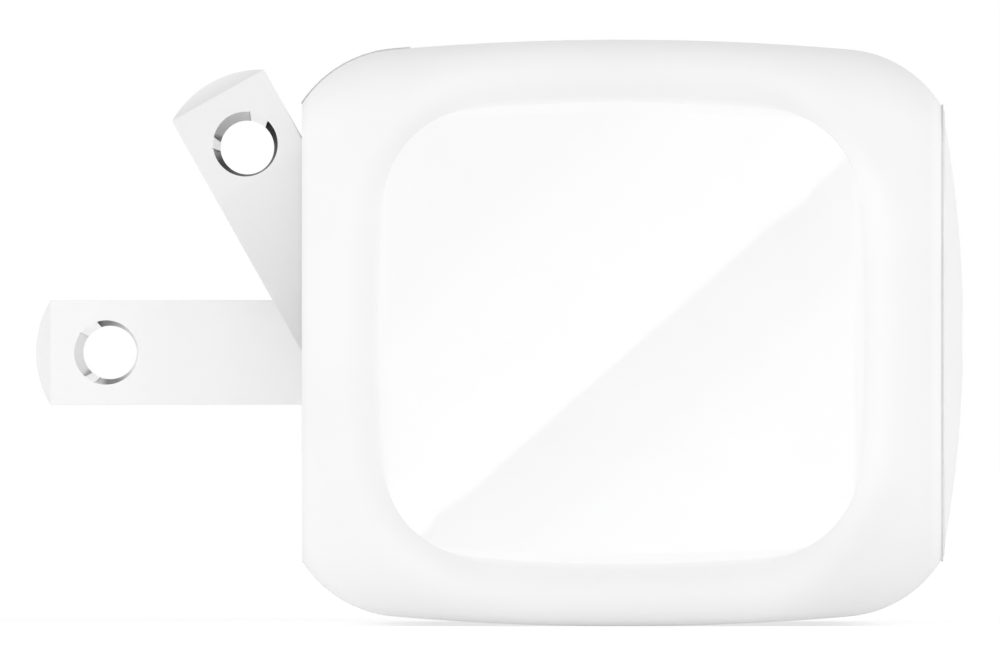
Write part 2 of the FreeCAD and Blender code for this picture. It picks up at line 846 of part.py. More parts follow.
def transformer_bobbin():
    x = second_row_x
    y = transformer_y
    low = core_bottom + core_wall
    high = core_top - core_wall
    tube = rod_z(x, y, bobbin_bore + bobbin_wall, low, high)
    flanges = [
        rod_z(x, y, bobbin_radius, low, low + bobbin_flange),
        rod_z(x, y, bobbin_radius, high - bobbin_flange, high),
    ]
    base_half = (near_lane_end - near_edge) / 2
    base = box(
        x - core_half_length, x + core_half_length, y - base_half, y + base_half,
        board_top, core_bottom
    )
    post_inner = core_width / 2 + fit_gap
    post_half = core_leg_radius
    posts = []
    for side in sides:
        inner, outer = sorted((y + side * post_inner, y + side * (bobbin_radius - bobbin_wall)))
        posts.append(box(x - post_half, x + post_half, inner, outer, core_bottom, low + bobbin_flange))
    bobbin = joined([tube] + flanges + posts + [base] + leads(bobbin_leads(), core_bottom))
    return bobbin.cut(rod_z(x, y, bobbin_bore, low, high))


def bobbin_leads():
    base_half = (near_lane_end - near_edge) / 2 - 4 * lead_radius
    pitch = 2 * (core_half_length - 2 * lead_radius) / (pin_count - 1)
    places = []
    for side in sides:
        for index in range(pin_count):
            offset = (index - (pin_count - 1) / 2) * pitch
            places.append((second_row_x + offset, transformer_y + side * base_half))
    return places


def transformer_winding():
    low = core_bottom + core_wall + bobbin_flange
    high = core_top - core_wall - bobbin_flange
    body = rod_z(second_row_x, transformer_y, bobbin_radius - winding_margin, low, high)
    return body.cut(rod_z(second_row_x, transformer_y, bobbin_bore + bobbin_wall, low, high))


# Cooling and insulation

def thermal_pad():
    half_y = core_width / 2
    return box(
        second_row_start, second_row_end, transformer_y - half_y, transformer_y + half_y,
        core_top, core_top + pad_thickness
    )


def heat_spreader():
    outer = -board_half_width
    inner = outer + spreader_sheet
    top = core_top + pad_thickness
    wall_plate = box(second_row_start, second_row_end, outer, inner, board_top, top)
    flange = box(second_row_start, second_row_end, outer, near_lane_end, top, top + spreader_sheet)
    return joined([wall_plate, flange])


def insulating_tray():
    reach = board_half_width - rail_width - tray_rail_gap
    low = board_bottom - tray_depth
    outside = box(first_row_start, output_board_back, -reach, reach, low, board_bottom)
    hollow = box(
        board_back, board_front, -reach + tray_sheet, reach - tray_sheet, low + tray_sheet, board_bottom
    )
    return outside.cut(hollow)


# Chips: flat bodies soldered to a board face

def primary_switch():
    x = first_row_x - switch_length / 2
    y = choke_y - switch_width / 2
    return box(x, x + switch_length, y, y + switch_width, board_bottom - switch_height, board_bottom)


def sync_rectifier():
    x = second_row_x - rectifier_length / 2
    y = transformer_y - rectifier_width / 2
    return box(x, x + rectifier_length, y, y + rectifier_width, board_bottom - rectifier_height, board_bottom)


def port_controller():
    half = chip_length / 2
    return box(
        output_board_back - chip_height, output_board_back, transformer_y - half, transformer_y + half,
        chip_rise - half, chip_rise + half
    )


# Boards

def main_board():
    board = box(board_back, board_front, -board_half_width, board_half_width, board_bottom, board_top)
    places = filter_capacitor_leads() + choke_holder_leads() + bobbin_leads() + fuse_leads()
    places += bulk_capacitor_leads(-1) + bulk_capacitor_leads(1)
    places += bridging_capacitor_leads() + output_capacitor_leads()
    holes = [rod_z(x, y, lead_hole_radius, board_bottom, board_top) for x, y in places]
    for side in sides:
        half = leaf_width / 2 + leaf_slot_gap
        y = side * blade_y
        holes.append(
            box(
                leaf_leg_back - leaf_slot_gap, leaf_leg_front + leaf_slot_gap, y - half, y + half,
                board_bottom, board_top
            )
        )
        inner, outer = tab_reach(side, fit_gap)
        holes.append(
            box(
                output_board_back - fit_gap, output_board_front + fit_gap, inner, outer,
                board_bottom, board_top
            )
        )
    for hole in holes:
        board = board.cut(hole)
    return board


def tab_reach(side, margin):
    centre = side * board_half_width / 2
    half = output_tab_width / 2 + margin
    return centre - half, centre + half


def output_board():
    half = board_half_width - output_board_inset
    board = box(output_board_back, output_board_front, -half, half, board_top, output_board_top)
    for side in sides:
        inner, outer = tab_reach(side, 0)
        board = board.fuse(
            box(output_board_back, output_board_front, inner, outer, board_bottom - lead_length, board_top)
        )
    for leg in shell_legs(fit_gap):
        board = board.cut(leg)
    return board.removeSplitter()


# Port

def shell_legs(margin):
    reach_y = shell_inner_width / 2 - shell_inner_height / 2
    half = shell_leg_width / 2 + margin
    legs = []
    for y in (-reach_y, reach_y):
        for side in sides:
            inner = side * (shell_inner_height / 2 - margin)
            outer = side * (shell_inner_height / 2 + shell_sheet + margin)
            legs.append(
                box(
                    output_board_front - shell_leg_length, output_board_front, y - half, y + half,
                    min(inner, outer), max(inner, outer)
                )
            )
    return legs


def usb_c_shell():
    outside = port_opening(output_board_front, port_mouth, 0)
    inside = port_opening(output_board_front, port_mouth, -shell_sheet)
    return joined([outside.cut(inside)] + shell_legs(0))


def usb_c_tongue():
    base = port_opening(output_board_front, output_board_front + tongue_base_length, -shell_sheet)
    half_y = tongue_width / 2
    half_z = tongue_thickness / 2
    tip = port_mouth - tongue_recess
    tongue = box(output_board_front, tip, -half_y, half_y, -half_z, half_z)
    front_edges = []
    for edge in tongue.Edges:
        if edge.CenterOfMass.x > tip - touching and edge.Length > 2 * tongue_thickness:
            front_edges.append(edge)
    tongue = tongue.makeChamfer(tongue_thickness / 4, front_edges)
    body = joined([base, tongue])
    return body.cut(usb_c_contacts())


def usb_c_contacts():
    tip = port_mouth - tongue_recess - contact_recess
    half_z = tongue_thickness / 2
    strips = []
    for index in range(contacts_per_side):
        y = (index - (contacts_per_side - 1) / 2) * contact_pitch
        for side in sides:
            inner, outer = sorted((side * half_z, side * (half_z + contact_sheet)))
            strips.append(
                box(output_board_front, tip, y - contact_width / 2, y + contact_width / 2, inner, outer)
            )
    return Part.makeCompound(strips)


pieces = {
    "housing": housing(),
    "front_cover": front_cover(),
    "near_side_panel": side_panel(-1),
    "far_side_panel": side_panel(1),
    "near_blade": raised(blade(), -1, near_blade_angle),
    "far_blade": raised(blade(), 1, far_blade_angle),
    "near_blade_hub": raised(blade_hub(), -1, near_blade_angle),
    "far_blade_hub": raised(blade_hub(), 1, far_blade_angle),
    "hub_bracket": hub_bracket(),
    "bracket_screws": bracket_screws(),
    "near_contact_spring": contact_spring(-1),
    "far_contact_spring": contact_spring(1),
    "main_board": main_board(),
    "output_board": output_board(),
    "usb_c_shell": usb_c_shell(),
    "usb_c_tongue": usb_c_tongue(),
    "usb_c_contacts": usb_c_contacts(),
    "port_controller": port_controller(),
    "fuse": fuse(),
    "bridge_rectifier": bridge_rectifier(),
    "filter_capacitor": filter_capacitor(),
    "choke_holder": choke_holder(),
    "choke_core": choke_core(),
    "choke_winding": choke_winding(),
    "rear_bulk_capacitor": bulk_capacitor(-1),
    "front_bulk_capacitor": bulk_capacitor(1),
    "primary_switch": primary_switch(),
    "transformer_core": transformer_core(),
    "transformer_bobbin": transformer_bobbin(),
    "transformer_winding": transformer_winding(),
    "bridging_capacitor": bridging_capacitor(),
    "optocoupler": optocoupler(),
    "sync_rectifier": sync_rectifier(),
    "output_capacitor": output_capacitor(),
    "heat_spreader": heat_spreader(),
    "thermal_pad": thermal_pad(),
    "insulating_tray": insulating_tray(),
}

os.makedirs("parts", exist_ok=True)
for name, shape in pieces.items():
    shape.exportStep(f"parts/{name}.step")
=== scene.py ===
import json
import math

import bmesh
import bpy
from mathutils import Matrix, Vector


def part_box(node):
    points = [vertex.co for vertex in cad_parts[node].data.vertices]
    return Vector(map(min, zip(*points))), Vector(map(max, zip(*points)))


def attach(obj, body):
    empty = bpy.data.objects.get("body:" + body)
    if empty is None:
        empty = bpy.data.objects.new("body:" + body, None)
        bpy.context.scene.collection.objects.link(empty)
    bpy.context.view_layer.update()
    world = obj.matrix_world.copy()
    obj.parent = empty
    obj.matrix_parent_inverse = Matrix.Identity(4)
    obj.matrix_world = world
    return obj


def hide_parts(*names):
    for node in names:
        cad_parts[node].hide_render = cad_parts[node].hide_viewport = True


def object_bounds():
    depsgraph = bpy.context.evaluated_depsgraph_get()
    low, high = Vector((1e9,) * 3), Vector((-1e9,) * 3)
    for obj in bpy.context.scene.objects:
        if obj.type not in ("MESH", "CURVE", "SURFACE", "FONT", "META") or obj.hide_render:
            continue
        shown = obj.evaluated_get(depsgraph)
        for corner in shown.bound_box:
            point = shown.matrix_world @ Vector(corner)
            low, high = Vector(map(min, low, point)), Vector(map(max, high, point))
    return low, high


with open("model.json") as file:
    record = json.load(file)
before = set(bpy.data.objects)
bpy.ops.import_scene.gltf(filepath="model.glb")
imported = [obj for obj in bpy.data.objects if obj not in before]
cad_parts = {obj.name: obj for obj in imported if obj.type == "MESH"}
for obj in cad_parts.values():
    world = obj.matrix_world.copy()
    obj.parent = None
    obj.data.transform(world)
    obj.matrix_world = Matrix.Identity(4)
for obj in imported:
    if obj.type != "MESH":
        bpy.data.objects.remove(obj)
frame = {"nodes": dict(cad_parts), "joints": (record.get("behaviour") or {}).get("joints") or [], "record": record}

# A white wall charger with two folding plug blades and a USB-C port.
# Everything is in metres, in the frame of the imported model: the wall side is at x = 0 and +Z is up.
# The photograph looks along +Y, with the wall side on its left and the cover with the port on its right.

mm = 0.001
cad_low, cad_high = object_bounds()
nodes = frame["nodes"]
joints = {joint["name"]: joint for joint in frame["joints"]}
mounts = {mount["name"]: mount for mount in frame["record"]["mounts"]}
housing_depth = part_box("housing")[1].x

# Camera: the width of the photograph's frame in a plane at the near blade, and the centre of that frame.
# The lens and the sensor are in mm, and the clipping is in shares of the camera's distance.
photo_width = 60.25 * mm
photo_plane_y = -7.0 * mm
photo_centre_x = 11.89 * mm
photo_centre_z = 0.03 * mm
lens = 1100.0
sensor = 36.0
clip_start = 0.1
clip_end = 20.0

# Lamps: name, place, width, height and power. They are all aimed at the middle of the body.
lamp_target = (0.019, 0, 0)
lamps = (
    ("top_box", (0.02, -0.32, 0.45), 0.6, 0.35, 0.05),
    ("left_box", (-0.55, 0, 0.05), 0.4, 0.4, 0.65),
    ("left_front_box", (-0.42, -0.35, 0.05), 0.35, 0.5, 1.27),
    ("right_box", (0.6, 0, 0.05), 0.4, 0.4, 0.17),
    ("right_front_box", (0.46, -0.35, 0.1), 0.35, 0.5, 1.34)
)

# The world lights surfaces with this strength, and is white to the camera, in mirrors and through glass
world_light = 0.62

# Floor: a pale surface with a glow, which grows for the camera between two distances from the origin
floor_z = cad_low.z
floor_half = 2.0
floor_colour = 0.72
floor_roughness = 0.9
floor_fade = (0.03, 0.16)
floor_glow_near = 0.46
floor_glow_far = 0.6
floor_glow_mirrored = 0.4
floor_glow_spread = 0.3

# The card in front of the glossy panel, which mirrors the card's slanted edge as a diagonal.
# Its brightness is given at heights in mm over that edge.
card_distance = 480.0 * mm
card_left = -100.0 * mm
card_right = 140.0 * mm
card_top = 22.0 * mm
card_edge_rise = -5.12 * mm
card_edge_slope = 0.1538
card_levels = (
    (-24, 1.8), (-17, 1.65), (-13, 1.48), (-9, 1.0), (-7, 0.68), (-3, 0.35), (-0.15, 0.1),
    (0.15, 1.8), (5, 1.75), (8, 1.5), (13, 1.42), (17, 1.0), (21.5, 0.57), (32, 0.55)
)

# Noise in the finishes, whose grain and patch are in cells per mm: the span that most of its values lie
# in, and the part of it where two tones mix
noise_detail = 3.0
noise_span = (0.3, 0.7)
tone_span = (0.35, 0.65)

# Samples of the shader that rounds edges. On the housing it rounds none at the flush outline of a panel:
# its radius grows from nothing between two distances from there.
rounding_samples = 6
rounding_fade = (0.1 * mm, 0.6 * mm)

# Outline of the glossy panels: a rectangle with crowned sides and round corners
panel_crown_radius = 97.0 * mm
panel_corner_radius = 5.75 * mm

# Painted shade and painted light on the housing round the panels, as factors of its colour at shares
# of band_width from their outline: darker just outside a panel and lighter further out. The band is
# weaker towards the wall side, and gives way to front_band_painted_levels, a painted highlight, towards
# the cover. Each change is between two values of x. The corners have a painted shade of their own, and
# the lower front one has more of it.
band_width = 4.0 * mm
band_painted_levels = ((0, 1), (0.09, 0.955), (0.22, 0.962), (0.33, 0.99), (0.5, 1.02), (0.65, 1.02), (1, 1))
wall_band_strength = 0.55
wall_fade = (4.5 * mm, 9.0 * mm)
front_fade = (28.0 * mm, 34.0 * mm)
front_band_painted_levels = ((0, 1), (0.09, 1.03), (0.22, 1.04), (0.35, 1.03), (0.5, 1.008), (0.7, 1), (1, 1))
corner_painted_shade_levels = ((0, 1), (0.1, 0.968), (0.3, 0.968), (0.6, 0.98), (1, 0.99))
lower_front_painted_shade_levels = ((0, 1), (0.1, 0.99), (0.33, 0.978), (0.8, 0.945), (1, 0.95))

# The least square of a distance, in square metres, that a corner's painted shade divides by
smallest_square = 1e-9

# Painted shade at the housing's wall-side edge and a painted highlight just before the seam, as factors
# at shares of its depth from the wall side
edge_painted_levels = ((0, 0.95), (0.01, 1), (0.983, 1), (0.989, 1.03), (1, 1.03))

# Blades: the bevelled tip and the rounded edges. An edge above rounded_angle is rounded, one above
# sharp_angle is shaded as sharp, and a face above smooth_area is shaded as flat.
tip_bevel_length = 0.87 * mm
tip_bevel_depth = 0.35 * mm
tip_steps = 28
root_steps = 24
blade_edge_round = 0.06 * mm
rounded_angle = math.radians(17.5)
sharp_angle = math.radians(35)
smooth_area = 2.0 * mm * mm

# Hole of the blades: its waist is set off towards the root, and its wall slants out to a wider mouth on
# each face. Between bright_turns the wall is straight, with a short and flatter chamfer at the mouth.
far_pivot = Vector(joints["far_blade_fold"]["pos_m"])
hole_centre = Vector(mounts["far_blade_hole"]["pos_m"]) - far_pivot
hole_mouth_radius = 1.95 * mm
hole_waist_radius = 1.62 * mm
hole_waist_shift = 0.23 * mm
hole_chamfer_depth = 0.2 * mm
hole_overshoot = 0.1 * mm
hole_steps = 180
bright_turns = ((-68, -50), (36, 73))

# Grey of the front face of each blade, at shares of its length from the tip to the pivot. The first two
# are the bevel of the tip. The grey has painted shade: darker on the bevel and towards the pivot, and
# the near blade is painted darker than the far one.
near_tones_with_painted_shade = (
    (0, 0.86), (0.044, 0.765), (0.046, 0.872), (0.2, 0.873), (0.31, 0.86), (0.34, 0.836), (0.46, 0.805),
    (0.585, 0.772), (0.685, 0.744), (1, 0.635)
)
far_tones_with_painted_shade = (
    (0, 0.895), (0.044, 0.88), (0.046, 0.943), (0.155, 0.943), (0.3, 0.926), (0.44, 0.903),
    (0.555, 0.904), (0.64, 0.892), (0.8, 0.894), (1, 0.9)
)

# Grey of the wall of each hole, at angles in degrees from the tip's side, positive towards the top. It is
# painted reflection and painted shade: dark crescents and bright arcs, darker on the near blade.
near_ring_painted_shade = (
    (-180, 0.2), (-150, 0.12), (-112, 0.05), (-92, 0.1), (-80, 0.45), (-68, 0.8), (-49, 0.25),
    (-40, 0.7), (0, 0.8), (35, 0.85), (77, 0.05), (95, 0.02), (135, 0.08), (180, 0.2)
)
far_ring_painted_shade = (
    (-180, 0.95), (-150, 0.85), (-112, 0.3), (-92, 0.3), (-80, 0.7), (-68, 1), (-49, 0.45),
    (-40, 0.9), (0, 0.98), (35, 0.98), (77, 0.3), (95, 0.3), (135, 0.8), (180, 0.95)
)

# Metal of the blades: fine grain, and tones that wander along the blade, but not near its tip
metal_stretch = (1, 1, 0.2)
metal_patch = 0.25
metal_wander = 0.02
plain_tip = 0.1
front_grain = 8.0
front_roughness = (0.28, 0.36)
ring_grain = 6.0
ring_roughness = (0.6, 0.68)
metal_grain_depth = 0.004 * mm
metal_grain_strength = 0.1

# Material slots of a blade, and the y of a face's normal below which the face belongs to the front, and
# above which it belongs to the back
side_slot, front_slot, ring_slot = range(3)
front_facing = -0.6
back_facing = 0.99

# Rays that look for a surface start outside the body, at this many times its extent from the axis
ray_start = 2

# Filling at the bottom of the seam between housing and cover
seam_gap = 0.12 * mm
seam_overlap = 0.01 * mm
seam_fill_depth = 0.08 * mm
seam_fill_thickness = 0.2 * mm
seam_steps = 360

# Lips: raised edges along the inner side of each blade recess, with closer sections near x = 0.
# The shoulder is a share of the height, and the crest and the undercut are shares of the width.
recess_side = 5.25 * mm
recess_end = 6.5 * mm
lip_start = 0.02 * mm
lip_steps = 40
lip_spread = 1.6
lip_width = 0.5 * mm
lip_height = 0.17 * mm
lip_sink = 0.05 * mm
lip_shoulder = 0.8
lip_crest = 0.7
lip_undercut = 0.38


# Node helpers

def blank_material(name):
    material = bpy.data.materials.new(name)
    material.use_nodes = True
    tree = material.node_tree
    tree.nodes.clear()
    return material, tree, add(tree, "ShaderNodeOutputMaterial").inputs["Surface"]


def new_material(name):
    material, tree, surface = blank_material(name)
    shader = add(tree, "ShaderNodeBsdfPrincipled")
    tree.links.new(shader.outputs["BSDF"], surface)
    return material, tree, shader


def add(tree, kind, **settings):
    node = tree.nodes.new(kind)
    for key, value in settings.items():
        setattr(node, key, value)
    return node


def object_place(tree):
    return add(tree, "ShaderNodeTexCoord").outputs["Object"]


def stretched_place(tree, stretch):
    mapping = add(tree, "ShaderNodeMapping")
    mapping.inputs["Scale"].default_value = stretch
    tree.links.new(object_place(tree), mapping.inputs["Vector"])
    return mapping.outputs["Vector"]


def noise(tree, place, per_mm):
    texture = add(tree, "ShaderNodeTexNoise")
    texture.inputs["Scale"].default_value = per_mm / mm
    texture.inputs["Detail"].default_value = noise_detail
    tree.links.new(place, texture.inputs["Vector"])
    return texture.outputs["Fac"]


def calculate(tree, operation, *values):
    node = add(tree, "ShaderNodeMath", operation=operation)
    for socket, value in zip(node.inputs, values):
        if isinstance(value, (int, float)):
            socket.default_value = value
        else:
            tree.links.new(value, socket)
    return node.outputs[0]


def ranged(tree, value, span, first, last, kind="LINEAR"):
    spread = add(tree, "ShaderNodeMapRange", interpolation_type=kind)
    numbers = zip(("From Min", "From Max", "To Min", "To Max"), (*span, first, last))
    for name, number in numbers:
        spread.inputs[name].default_value = number
    tree.links.new(value, spread.inputs["Value"])
    return spread.outputs["Result"]


def grey(value):
    return (value, value, value)


def ramp_of(tree, factor, levels):
    ramp = add(tree, "ShaderNodeValToRGB")
    stops = ramp.color_ramp.elements
    stops[0].position = levels[0][0]
    stops[1].position = levels[-1][0]
    for position, level in levels[1:-1]:
        stops.new(position)
    for stop, (position, level) in zip(stops, levels):
        stop.color = (*grey(level), 1)
    tree.links.new(factor, ramp.inputs["Fac"])
    return ramp.outputs["Color"]


def change_of(tree, factor, levels):
    return calculate(tree, "SUBTRACT", ramp_of(tree, factor, levels), 1.0)


def two_tones(tree, factor, tones):
    ramp = add(tree, "ShaderNodeValToRGB")
    for stop, position, tone in zip(ramp.color_ramp.elements, tone_span, tones):
        stop.position = position
        stop.color = (*tone, 1)
    tree.links.new(factor, ramp.inputs["Fac"])
    return ramp.outputs["Color"]


def bumped(tree, height, depth, strength, rounding=0.0):
    bump = add(tree, "ShaderNodeBump")
    bump.inputs["Strength"].default_value = strength
    bump.inputs["Distance"].default_value = depth
    tree.links.new(height, bump.inputs["Height"])
    if rounding:
        bevel = add(tree, "ShaderNodeBevel", samples=rounding_samples, name="rounding")
        bevel.inputs["Radius"].default_value = rounding
        tree.links.new(bevel.outputs["Normal"], bump.inputs["Normal"])
    return bump.outputs["Normal"]


def roughen(tree, shader, place, grain, roughness, depth, strength, rounding=0.0):
    fine = noise(tree, place, grain)
    tree.links.new(ranged(tree, fine, noise_span, *roughness), shader.inputs["Roughness"])
    tree.links.new(bumped(tree, fine, depth, strength, rounding), shader.inputs["Normal"])


# Finishes, one for each material slot of the record

def finish_material(
    name, tones, roughness, grain=3.0, patch=0.12, depth=0.01 * mm, strength=0.2,
    metallic=0.0, stretch=(1, 1, 1), rounding=0.0
):
    material, tree, shader = new_material(name)
    place = stretched_place(tree, stretch)
    tree.links.new(two_tones(tree, noise(tree, place, patch), tones), shader.inputs["Base Color"])
    roughen(tree, shader, place, grain, roughness, depth, strength, rounding)
    shader.inputs["Metallic"].default_value = metallic
    return material


finishes = {
    "matt_white": dict(
        tones=(grey(0.865), grey(0.88)), roughness=(0.5, 0.6),
        grain=4.0, depth=0.012 * mm, strength=0.25, rounding=0.06 * mm
    ),
    "gloss_white": dict(
        tones=(grey(0.9), grey(0.91)), roughness=(0.008, 0.014),
        grain=0.3, depth=0.002 * mm, strength=0.02
    ),
    "nickel": dict(
        tones=((0.87, 0.875, 0.87), (0.9, 0.905, 0.9)), roughness=(0.3, 0.38), metallic=1.0,
        grain=8.0, patch=0.15, depth=0.004 * mm, strength=0.12, stretch=metal_stretch
    ),
    "hub_plastic": dict(tones=(grey(0.8), grey(0.84)), roughness=(0.45, 0.58), rounding=0.1 * mm),
    "inner_plastic": dict(tones=((0.72, 0.72, 0.7), (0.78, 0.78, 0.75)), roughness=(0.45, 0.6)),
    "screw_steel": dict(
        tones=(grey(0.5), grey(0.6)), roughness=(0.3, 0.45), metallic=1.0, depth=0.004 * mm, strength=0.1
    ),
    "spring_bronze": dict(
        tones=((0.68, 0.46, 0.29), (0.76, 0.54, 0.36)), roughness=(0.25, 0.4), metallic=1.0,
        depth=0.004 * mm, strength=0.1
    ),
    "board_laminate": dict(
        tones=((0.02, 0.17, 0.07), (0.04, 0.23, 0.1)), roughness=(0.35, 0.5), grain=2.0, patch=0.6
    ),
    "port_steel": dict(
        tones=(grey(0.58), grey(0.68)), roughness=(0.25, 0.38), metallic=1.0,
        depth=0.004 * mm, strength=0.1, rounding=0.06 * mm
    ),
    "port_plastic": dict(tones=(grey(0.025), grey(0.04)), roughness=(0.45, 0.6)),
    "contact_gold": dict(
        tones=((0.8, 0.58, 0.25), (0.86, 0.66, 0.31)), roughness=(0.18, 0.3), metallic=1.0,
        depth=0.002 * mm, strength=0.05
    ),
    "chip_resin": dict(tones=(grey(0.03), grey(0.05)), roughness=(0.55, 0.7), grain=6.0),
    "fuse_ceramic": dict(tones=((0.8, 0.77, 0.69), (0.87, 0.84, 0.77)), roughness=(0.3, 0.42)),
    "film_capacitor_case": dict(tones=((0.76, 0.62, 0.1), (0.83, 0.69, 0.14)), roughness=(0.18, 0.28)),
    "ferrite": dict(tones=(grey(0.07), grey(0.12)), roughness=(0.6, 0.75), grain=5.0, depth=0.02 * mm),
    "copper_wire": dict(
        tones=((0.55, 0.24, 0.1), (0.66, 0.33, 0.15)), roughness=(0.2, 0.35), metallic=1.0,
        grain=2.5, stretch=(1, 1, 3)
    ),
    "capacitor_can": dict(
        tones=((0.58, 0.58, 0.6), (0.66, 0.66, 0.68)), roughness=(0.3, 0.42), metallic=1.0
    ),
    "blue_ceramic": dict(tones=((0.08, 0.22, 0.5), (0.12, 0.28, 0.58)), roughness=(0.2, 0.3)),
    "spreader_metal": dict(
        tones=(grey(0.66), grey(0.74)), roughness=(0.3, 0.45), metallic=1.0, stretch=(0.2, 1, 1)
    ),
    "pad_rubber": dict(tones=((0.42, 0.47, 0.52), (0.48, 0.53, 0.58)), roughness=(0.7, 0.85)),
    "tray_sheet": dict(tones=((0.86, 0.86, 0.82), (0.92, 0.92, 0.88)), roughness=(0.5, 0.65))
}
# The cover's copy of the matt white is lighter than the housing's: painted light on the same plastic
cover_finish_painted_light = dict(finishes["matt_white"], tones=(grey(0.89), grey(0.905)))
materials = {slot: finish_material(slot, **finish) for slot, finish in finishes.items()}


# Painted shade and painted light on the housing, from each point's place beside the panels

def panel_distance(tree, x, z):
    """Distance from the panels' outline, and a factor that rises to 1 on its corners' diagonals."""
    low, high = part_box("near_side_panel")
    half_x = (high.x - low.x) / 2
    half_z = (high.z - low.z) / 2
    bulge = 1 / (2 * panel_crown_radius)
    x = calculate(tree, "ABSOLUTE", calculate(tree, "SUBTRACT", x, (low.x + high.x) / 2))
    z = calculate(tree, "ABSOLUTE", z)
    past_x = calculate(tree, "ADD", x, panel_corner_radius - half_x)
    past_z = calculate(tree, "ADD", z, panel_corner_radius - half_z)
    over_x = calculate(tree, "MULTIPLY_ADD", calculate(tree, "POWER", z, 2.0), bulge, past_x)
    over_z = calculate(tree, "MULTIPLY_ADD", calculate(tree, "POWER", x, 2.0), bulge, past_z)
    outer_x = calculate(tree, "MAXIMUM", over_x, 0.0)
    outer_z = calculate(tree, "MAXIMUM", over_z, 0.0)
    square = calculate(tree, "MULTIPLY_ADD", outer_x, outer_x, calculate(tree, "POWER", outer_z, 2.0))
    inner = calculate(tree, "MINIMUM", calculate(tree, "MAXIMUM", over_x, over_z), 0.0)
    total = calculate(tree, "ADD", calculate(tree, "SQRT", square), inner)
    distance = calculate(tree, "SUBTRACT", total, panel_corner_radius)
    product = calculate(tree, "MULTIPLY", calculate(tree, "MULTIPLY", outer_x, outer_z), 2.0)
    corner = calculate(tree, "DIVIDE", product, calculate(tree, "MAXIMUM", square, smallest_square))
    return distance, calculate(tree, "POWER", corner, 2.0)


# Painted shade just outside the panels, and painted light further out and towards the cover
def band_level(tree, share, x):
    wall_strength = ranged(tree, x, wall_fade, wall_band_strength, 1.0, "SMOOTHSTEP")
    front_strength = ranged(tree, x, front_fade, 0.0, 1.0, "SMOOTHSTEP")
    back_strength = calculate(tree, "SUBTRACT", 1.0, front_strength)
    band = calculate(tree, "MULTIPLY", change_of(tree, share, band_painted_levels), wall_strength)
    band = calculate(tree, "MULTIPLY_ADD", band, back_strength, 1.0)
    front_band = change_of(tree, share, front_band_painted_levels)
    return calculate(tree, "MULTIPLY_ADD", front_band, front_strength, band)


# Painted shade at the panels' corners, with more at the lower front one
def corner_level(tree, share, corner, x, z):
    front = calculate(tree, "GREATER_THAN", x, housing_depth / 2)
    lower_front = calculate(tree, "MULTIPLY", front, calculate(tree, "LESS_THAN", z, 0.0))
    extra = change_of(tree, share, lower_front_painted_shade_levels)
    shade = calculate(tree, "MULTIPLY_ADD", extra, lower_front, change_of(tree, share, corner_painted_shade_levels))
    return calculate(tree, "MULTIPLY_ADD", shade, corner, 1.0)


def paint_shade_and_light_round_panels(material):
    tree = material.node_tree
    colour = tree.nodes["Principled BSDF"].inputs["Base Color"]
    parts = add(tree, "ShaderNodeSeparateXYZ")
    tree.links.new(object_place(tree), parts.inputs["Vector"])
    x = parts.outputs["X"]
    z = parts.outputs["Z"]
    distance, corner = panel_distance(tree, x, z)
    share = calculate(tree, "DIVIDE", distance, band_width)
    # Painted shade at the wall-side edge and a painted highlight by the seam
    ends = ramp_of(tree, calculate(tree, "DIVIDE", x, housing_depth), edge_painted_levels)
    level = calculate(tree, "MULTIPLY", band_level(tree, share, x), ends)
    level = calculate(tree, "MULTIPLY", level, corner_level(tree, share, corner, x, z))
    shaded = add(tree, "ShaderNodeVectorMath", operation="SCALE")
    tree.links.new(colour.links[0].from_socket, shaded.inputs[0])
    tree.links.new(level, shaded.inputs["Scale"])
    tree.links.new(shaded.outputs["Vector"], colour)
    rounding = tree.nodes["rounding"].inputs["Radius"]
    tree.links.new(ranged(tree, distance, rounding_fade, 0.0, rounding.default_value), rounding)


def give(node, material):
    for holder in nodes[node].material_slots:
        holder.material = material


def dress_nodes():
    for row in frame["record"]["subparts"]:
        give(row["node"], materials[row["material_slot"]])
    # The housing and the cover get their own variants of the slot that they share. The housing's has
    # painted shade and painted light round its panels and at its ends.
    housing_white_painted_shade_and_light = finish_material("housing_white_painted_shade_and_light", **finishes["matt_white"])
    paint_shade_and_light_round_panels(housing_white_painted_shade_and_light)
    give("housing", housing_white_painted_shade_and_light)
    # The cover's lighter copy paints light onto it
    give("front_cover", finish_material("cover_white_painted_light", **cover_finish_painted_light))


# Mesh helpers

def arc_points(centre, radius, start, end, steps):
    points = []
    for step in range(steps + 1):
        angle = start + (end - start) * step / steps
        points.append((centre[0] + radius * math.cos(angle), centre[1] + radius * math.sin(angle)))
    return points


def join_rings(mesh, ring, other):
    for index in range(len(ring)):
        mesh.faces.new((ring[index - 1], ring[index], other[index], other[index - 1]))


def sweep(sections, closed=False):
    """A bar through the sections, closed to a ring or capped at its ends."""
    mesh = bmesh.new()
    rings = [[mesh.verts.new(point) for point in section] for section in sections]
    following = rings[1:] + rings[:1] if closed else rings[1:]
    for ring, other in zip(rings, following):
        join_rings(mesh, ring, other)
    if not closed:
        mesh.faces.new(rings[0])
        mesh.faces.new(rings[-1])
    bmesh.ops.recalc_face_normals(mesh, faces=mesh.faces)
    return mesh


def piece_from(mesh, name):
    data = bpy.data.meshes.new(name)
    mesh.to_mesh(data)
    mesh.free()
    piece = bpy.data.objects.new(name, data)
    bpy.context.scene.collection.objects.link(piece)
    return piece


def cut_out(piece, cutter):
    modifier = piece.modifiers.new("cut", "BOOLEAN")
    modifier.operation = "DIFFERENCE"
    modifier.solver = "EXACT"
    modifier.object = cutter
    bpy.context.view_layer.update()
    evaluated = piece.evaluated_get(bpy.context.evaluated_depsgraph_get())
    data = bpy.data.meshes.new_from_object(evaluated)
    piece.modifiers.clear()
    piece.data = data
    bpy.data.objects.remove(cutter)


